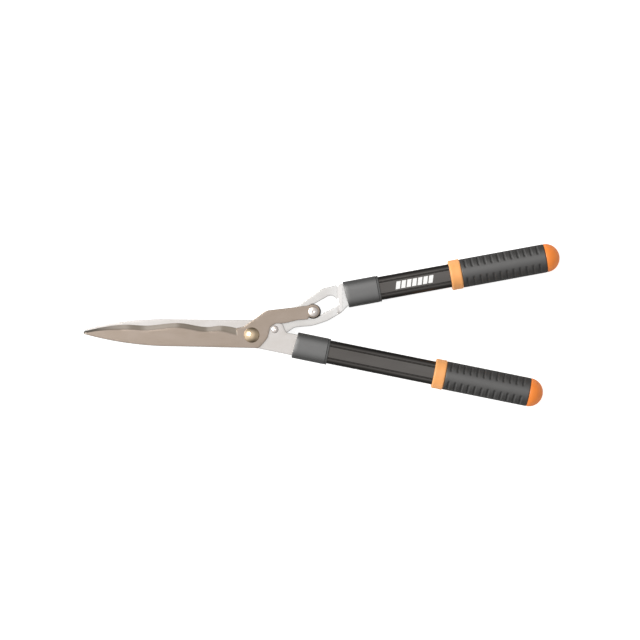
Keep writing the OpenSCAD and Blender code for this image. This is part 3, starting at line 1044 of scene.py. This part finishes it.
def groove_share(u, angle):
    """How deep the grip is grooved: 1 in the middle of a groove, 0 on the ribs and smooth panels."""
    nearest = round((u - RIB_START) / RIB_PITCH)
    if not 0 <= nearest < RIB_COUNT:
        return 0.0
    off = abs(u - RIB_START - nearest * RIB_PITCH) / RIB_HALF
    if off >= 1:
        return 0.0
    from_panel = math.asin(min(1.0, abs(math.cos(angle))))
    begins = smoothstep((from_panel - PANEL_ANGLE) / PANEL_FADE)
    ends = 1 - smoothstep((from_panel - SIDE_ANGLE) / PANEL_FADE)
    return (0.5 + 0.5 * math.cos(math.pi * off)) * begins * ends


def grip(node, handle):
    """A soft sleeve with a smooth panel front and back and rows of short grooves on both sides."""
    low, high = local_box(node, handle)
    radius = (high.z - low.z) / 2 - SKIN
    length = high.x - low.x
    inner = local_size("tube", node, handle).z / 2
    sections, grooves = [], []
    steps = round(length / GRIP_STEP)
    for k in range(steps + 1):
        u = length * k / steps
        from_end = min(u, length - u)
        edge = max(0.0, GRIP_EDGE - from_end)
        tuck = GRIP_EDGE - math.sqrt(max(0.0, GRIP_EDGE**2 - edge**2))
        section = []
        for j in range(GRIP_SEGMENTS):
            angle = 2 * math.pi * j / GRIP_SEGMENTS
            share = groove_share(u, angle)
            r = radius - tuck - RIB_DEPTH * share
            section.append((low.x + u, r * math.cos(angle), r * math.sin(angle)))
            grooves.append(share)
        sections.append(section)
    for u in (high.x, low.x):
        sections.append(circle_at(u, inner, GRIP_SEGMENTS))
        grooves += [0.0] * GRIP_SEGMENTS
    vertices, faces = lofted(sections, closed=True)
    make_piece(node, vertices, faces, {"groove": grooves}, sharp=60, home=handle)


CAP_SEAM = 0.5 * MM
CAP_CHAMFER = 1 * MM
CAP_STEPS = 40


def end_cap(node, handle):
    """A domed cap with a fine seam where it meets the grip, and a plug inside the tube."""
    low, high = local_box(node, handle)
    radius = (high.z - low.z) / 2 - SKIN
    base = high.x - radius
    plug = local_size("tube", node, handle).z / 2 - TUBE_WALL
    points = [
        (0.0, low.x),
        (plug - CAP_CHAMFER, low.x),
        (plug, low.x + CAP_CHAMFER),
        (plug, base),
        (radius - CAP_SEAM, base),
        (radius - CAP_SEAM * 0.3, base + CAP_SEAM * 0.3),
        (radius, base + CAP_SEAM),
    ]
    for k in range(1, CAP_STEPS + 1):
        angle = math.pi / 2 * k / CAP_STEPS
        points.append((radius * math.cos(angle), base + CAP_SEAM + (radius - CAP_SEAM) * math.sin(angle)))
    vertices, faces = revolved(points, Vector((0, 0, 0)))
    to_handle = handle @ Matrix.Rotation(math.pi / 2, 4, "Y")
    make_piece(node, vertices, faces, sharp=40, home=to_handle)


# ---------------------------------------------------------------------------
# Pivot, rivets, washers and bushes
# ---------------------------------------------------------------------------


HEAD_CORNER = 0.15 * MM
HEAD_EDGE = 0.3 * MM
DOME_STEPS = 14
DIMPLE_SHARE = 0.22
PIN_CHAMFER = 0.8 * MM
CLENCH_D = 9.5 * MM
CLENCH_THICKNESS = 1.6 * MM

# A clenched end from its outer face inwards, as shares of its radius and its thickness
CLENCH_SHAPE = [(0.35, 0), (0.8, 0.12), (0.97, 0.4), (1, 0.7), (0.97, 1)]


def middle(node):
    """The middle of a CAD node's box."""
    low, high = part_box(node)
    return (low + high) / 2


def dome_points(radius, base, height, rim, dimple):
    """The (radius, height) points of a domed head from its base corner to its top on the axis."""
    points = [(radius - HEAD_CORNER, base), (radius, base + HEAD_CORNER), (radius, base + rim - HEAD_EDGE)]
    rise = height - rim
    sphere = (radius**2 + rise**2) / (2 * rise)
    start = math.asin(min(1.0, radius / sphere))
    centre = base + height - sphere
    hollow = radius * DIMPLE_SHARE
    for k in range(DOME_STEPS + 1):
        angle = start * (1 - k / DOME_STEPS)
        r = sphere * math.sin(angle)
        z = centre + sphere * math.cos(angle)
        if k == 0:
            r, z = radius - HEAD_EDGE * 0.3, z - HEAD_EDGE * 0.3
        if r < hollow:
            z -= dimple * (1 - r / hollow) ** 0.5
        points.append((r, z))
    return points


def headed_pin(node, head_d, shank_d, head_base, rim, dimple=0.0, clenched=False):
    """A bolt or rivet along Z: a head with a rim and a dome, a shank, and a clenched or chamfered end.

    The rim is the share of the head's height that is straight.
    """
    low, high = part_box(node)
    height = high.z - head_base
    shank = shank_d / 2
    points = [(0.0, low.z)]
    if clenched:
        end = [(CLENCH_D / 2 * r, low.z + CLENCH_THICKNESS * z) for r, z in CLENCH_SHAPE]
        points += [*end, (shank, low.z + CLENCH_THICKNESS)]
    else:
        points += [(shank - PIN_CHAMFER, low.z), (shank, low.z + PIN_CHAMFER)]
    points += [(shank, head_base)]
    points += dome_points(head_d / 2, head_base, height, height * rim, dimple)
    vertices, faces = revolved(points, middle(node))
    make_piece(node, vertices, faces, sharp=40)


WASHER_EDGE = 0.18 * MM


def washer(node, hole_d):
    """A flat ring with softened edges."""
    low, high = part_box(node)
    outer = (high.x - low.x) / 2
    profile = fillet(
        [
            (hole_d / 2, low.z, WASHER_EDGE / 2),
            (outer, low.z, WASHER_EDGE),
            (outer, high.z, WASHER_EDGE),
            (hole_d / 2, high.z, WASHER_EDGE / 2),
        ],
        4,
    )
    vertices, faces = revolved([tuple(p) for p in profile], middle(node))
    make_piece(node, vertices, faces)


NUT_COLLAR_HEIGHT = 1.4 * MM
NUT_CHAMFER = math.tan(math.radians(28))


def lock_nut(node, bore_d):
    """A hexagon nut with chamfered corners and a rolled collar on its outer side."""
    low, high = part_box(node)
    centre = middle(node)
    flat = (high.y - low.y) / 2
    bore = bore_d / 2
    hex_low = low.z + NUT_COLLAR_HEIGHT
    rings = []

    def ring(radius_of, height_of):
        """Adds a ring of points whose radius depends on the angle, and whose height on the radius."""
        points = []
        for k in range(TURNED_SEGMENTS):
            angle = 2 * math.pi * k / TURNED_SEGMENTS
            r = radius_of(angle)
            points.append((centre.x + r * math.cos(angle), centre.y + r * math.sin(angle), height_of(r)))
        rings.append(points)

    def hexagon(angle):
        """The distance to the hexagon's side in the direction of angle."""
        within = (angle + math.pi / 6) % (math.pi / 3) - math.pi / 6
        return flat / math.cos(math.pi / 6 - abs(within))

    def even(radius):
        return lambda angle: radius

    def level(z):
        return lambda r: z

    collar_r = flat - 0.5 * MM
    ring(even(bore), level(low.z + 0.5 * MM))
    ring(even(bore + 0.6 * MM), level(low.z + 0.1 * MM))
    ring(even(collar_r - 1.0 * MM), level(low.z))
    ring(even(collar_r - 0.3 * MM), level(low.z + 0.25 * MM))
    ring(even(collar_r), level(low.z + 0.8 * MM))
    ring(even(collar_r), level(hex_low))
    ring(hexagon, lambda r: hex_low + (r - collar_r) * NUT_CHAMFER)
    ring(hexagon, lambda r: high.z - (r - flat) * NUT_CHAMFER)
    ring(even(flat), level(high.z))
    ring(even(bore), level(high.z))
    vertices, faces = lofted(rings, closed=True)
    make_piece(node, vertices, faces, sharp=25)


BUSH_EDGE = 0.25 * MM


def stepped_bush(node, flange_d, sleeve_d, bore_d, flange_base):
    """The drive pin's bush: a wide flange above and a sleeve through the slot below."""
    low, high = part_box(node)
    profile = fillet(
        [
            (bore_d / 2, low.z, 0),
            (sleeve_d / 2, low.z, BUSH_EDGE),
            (sleeve_d / 2, flange_base, 0),
            (flange_d / 2, flange_base, BUSH_EDGE),
            (flange_d / 2, high.z, BUSH_EDGE),
            (bore_d / 2, high.z, 0),
        ],
        4,
    )
    vertices, faces = revolved([tuple(p) for p in profile], middle(node))
    make_piece(node, vertices, faces)


# ---------------------------------------------------------------------------
# The shears
# ---------------------------------------------------------------------------

BOLT_D = 8 * MM
BOLT_HEAD_D = 18.6 * MM
RIVET_D = 6 * MM
FULCRUM_HEAD_D = 9 * MM
DRIVE_HEAD_D = 12 * MM
DRIVE_FLANGE_D = 12.4 * MM
DRIVE_SLEEVE_D = 10 * MM
FACE_GAP = 0.1 * MM

# The inner pieces keep their CAD meshes
INNER_NODES = (
    "blade_spacer",
    "blade_bush",
    "fulcrum_bush",
    "lower_core",
    "upper_core",
    "lower_tang_pin",
    "upper_tang_pin",
)


add_camera()
add_sky()
add_softbox("key", (-2.15, 0.8, 3.1), (0.09, 0.0, 0.0), (2.2, 2.2), 130, (1.0, 0.985, 0.96))
add_floor(pale_floor())

ground_blade("front_blade", -1)
ground_blade("rear_blade", 1)
lever_plate("upper_lever")

for prefix, side in (("upper", 1), ("lower", -1)):
    handle = handle_frame(MOUNTS["grip_" + prefix])
    ferrule(prefix + "_ferrule", handle, side)
    tube_finish = finish_of(prefix + "_tube")
    if prefix == "upper":
        ferrule_end = local_box("upper_ferrule", handle)[1].x
        collar_start = local_box("upper_collar", handle)[0].x
        tube_middle = (ferrule_end + collar_start) / 2
        mark = slanted_bars(tube_middle, length=47 * MM, height=9 * MM, bars=7, lean=0.3)
        tube_finish = anodised_tube("tube_anodised_marked", mark)
    tube(prefix + "_tube", handle, tube_finish)
    collar(prefix + "_collar", handle)
    grip(prefix + "_grip", handle)
    end_cap(prefix + "_end_cap", handle)

front_blade_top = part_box("front_blade")[1].z
rear_blade_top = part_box("rear_blade")[1].z
lever_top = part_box("upper_lever")[0].z + LEVER_THICKNESS

headed_pin("pivot_bolt", BOLT_HEAD_D, BOLT_D, front_blade_top + FACE_GAP, 0.2)
headed_pin("fulcrum_rivet", FULCRUM_HEAD_D, RIVET_D, rear_blade_top, 0.4, 0.35 * MM, clenched=True)
headed_pin("drive_pin", DRIVE_HEAD_D, RIVET_D, front_blade_top, 0.55, 0.45 * MM, clenched=True)
lock_nut("pivot_nut", BOLT_D)
washer("nut_washer", BOLT_D + FACE_GAP)
washer("fulcrum_washer", RIVET_D)
washer("drive_washer", RIVET_D)
stepped_bush("drive_bush", DRIVE_FLANGE_D, DRIVE_SLEEVE_D, RIVET_D, lever_top + FACE_GAP)

for node in INNER_NODES:
    NODES[node].data.materials.clear()
    NODES[node].data.materials.append(finish_of(node))

bpy.context.scene.view_settings.view_transform = "Standard"
